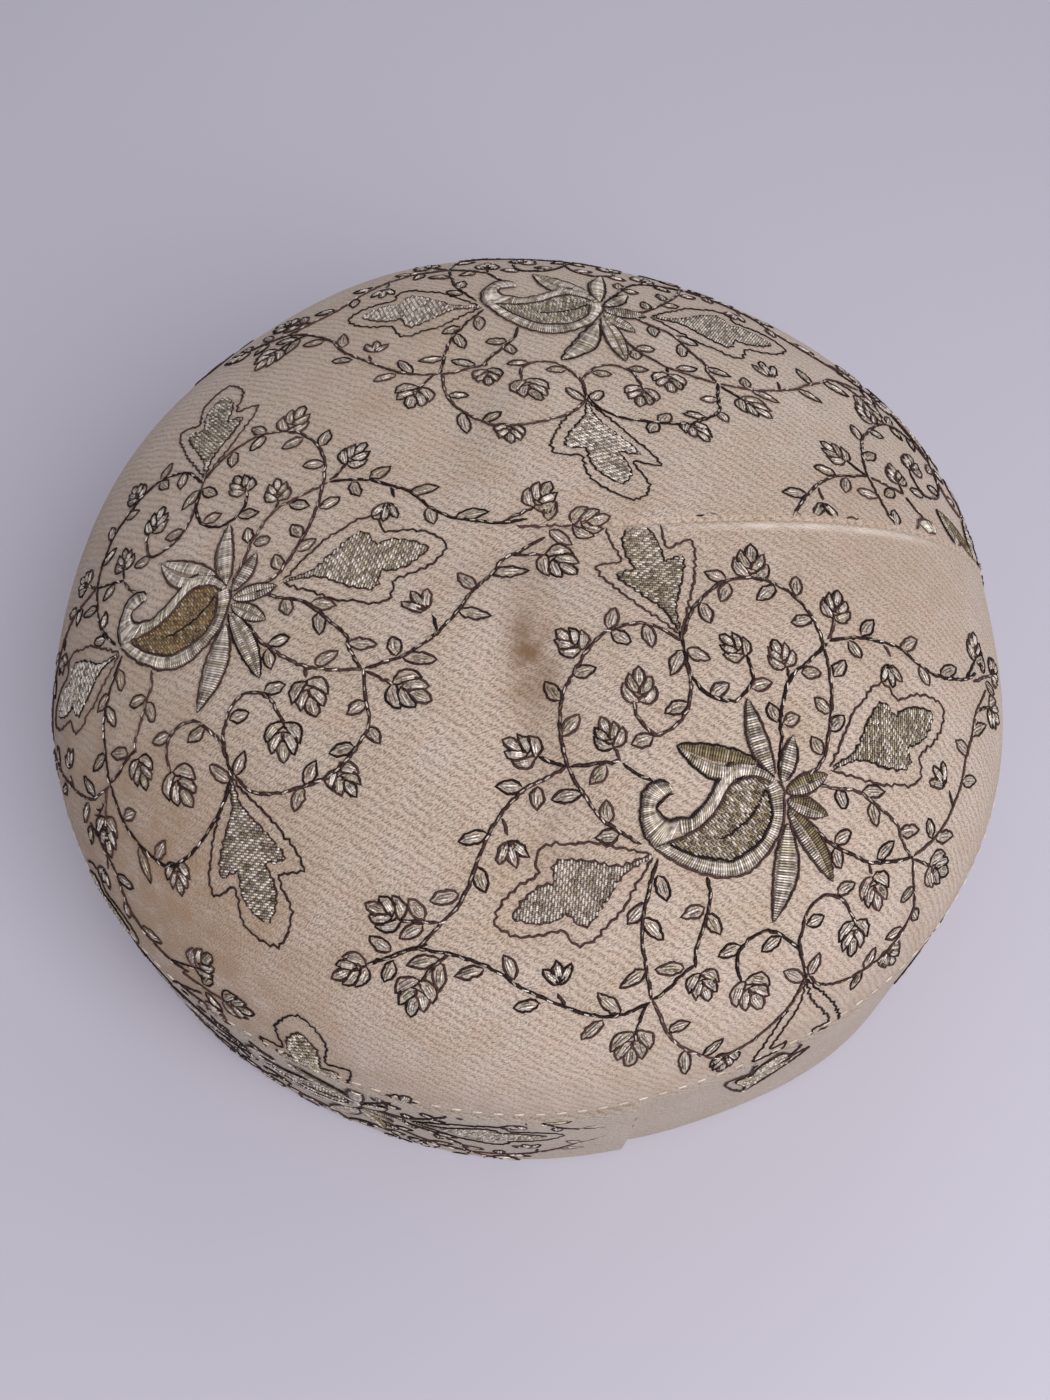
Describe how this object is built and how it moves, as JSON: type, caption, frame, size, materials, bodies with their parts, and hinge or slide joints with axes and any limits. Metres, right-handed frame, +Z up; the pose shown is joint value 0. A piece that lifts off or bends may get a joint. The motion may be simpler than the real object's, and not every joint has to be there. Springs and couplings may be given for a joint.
{
  "type": "embroidered round cap",
  "caption": "Soft round brimless cap: a domed cloth crown with a sewn dart and scrolling vine embroidery on an upright side band, open below for the head.",
  "frame": {"origin": "middle of the rim, on the surface the cap rests on", "axes": "+Z up through the top of the crown, -Y towards the front seen in the picture, +X towards the side where the dart ends"},
  "size_m": [0.182, 0.184, 0.0908],
  "materials": {
    "crown_cloth": "matte cream ribbed twill with faint stains and metallic and brown thread embroidery",
    "band_cloth": "the same matte cream ribbed twill, a little more soiled"
  },
  "bodies": {
    "root": {"crown": "crown_cloth", "side_band": "band_cloth"}
  },
  "joints": []
}
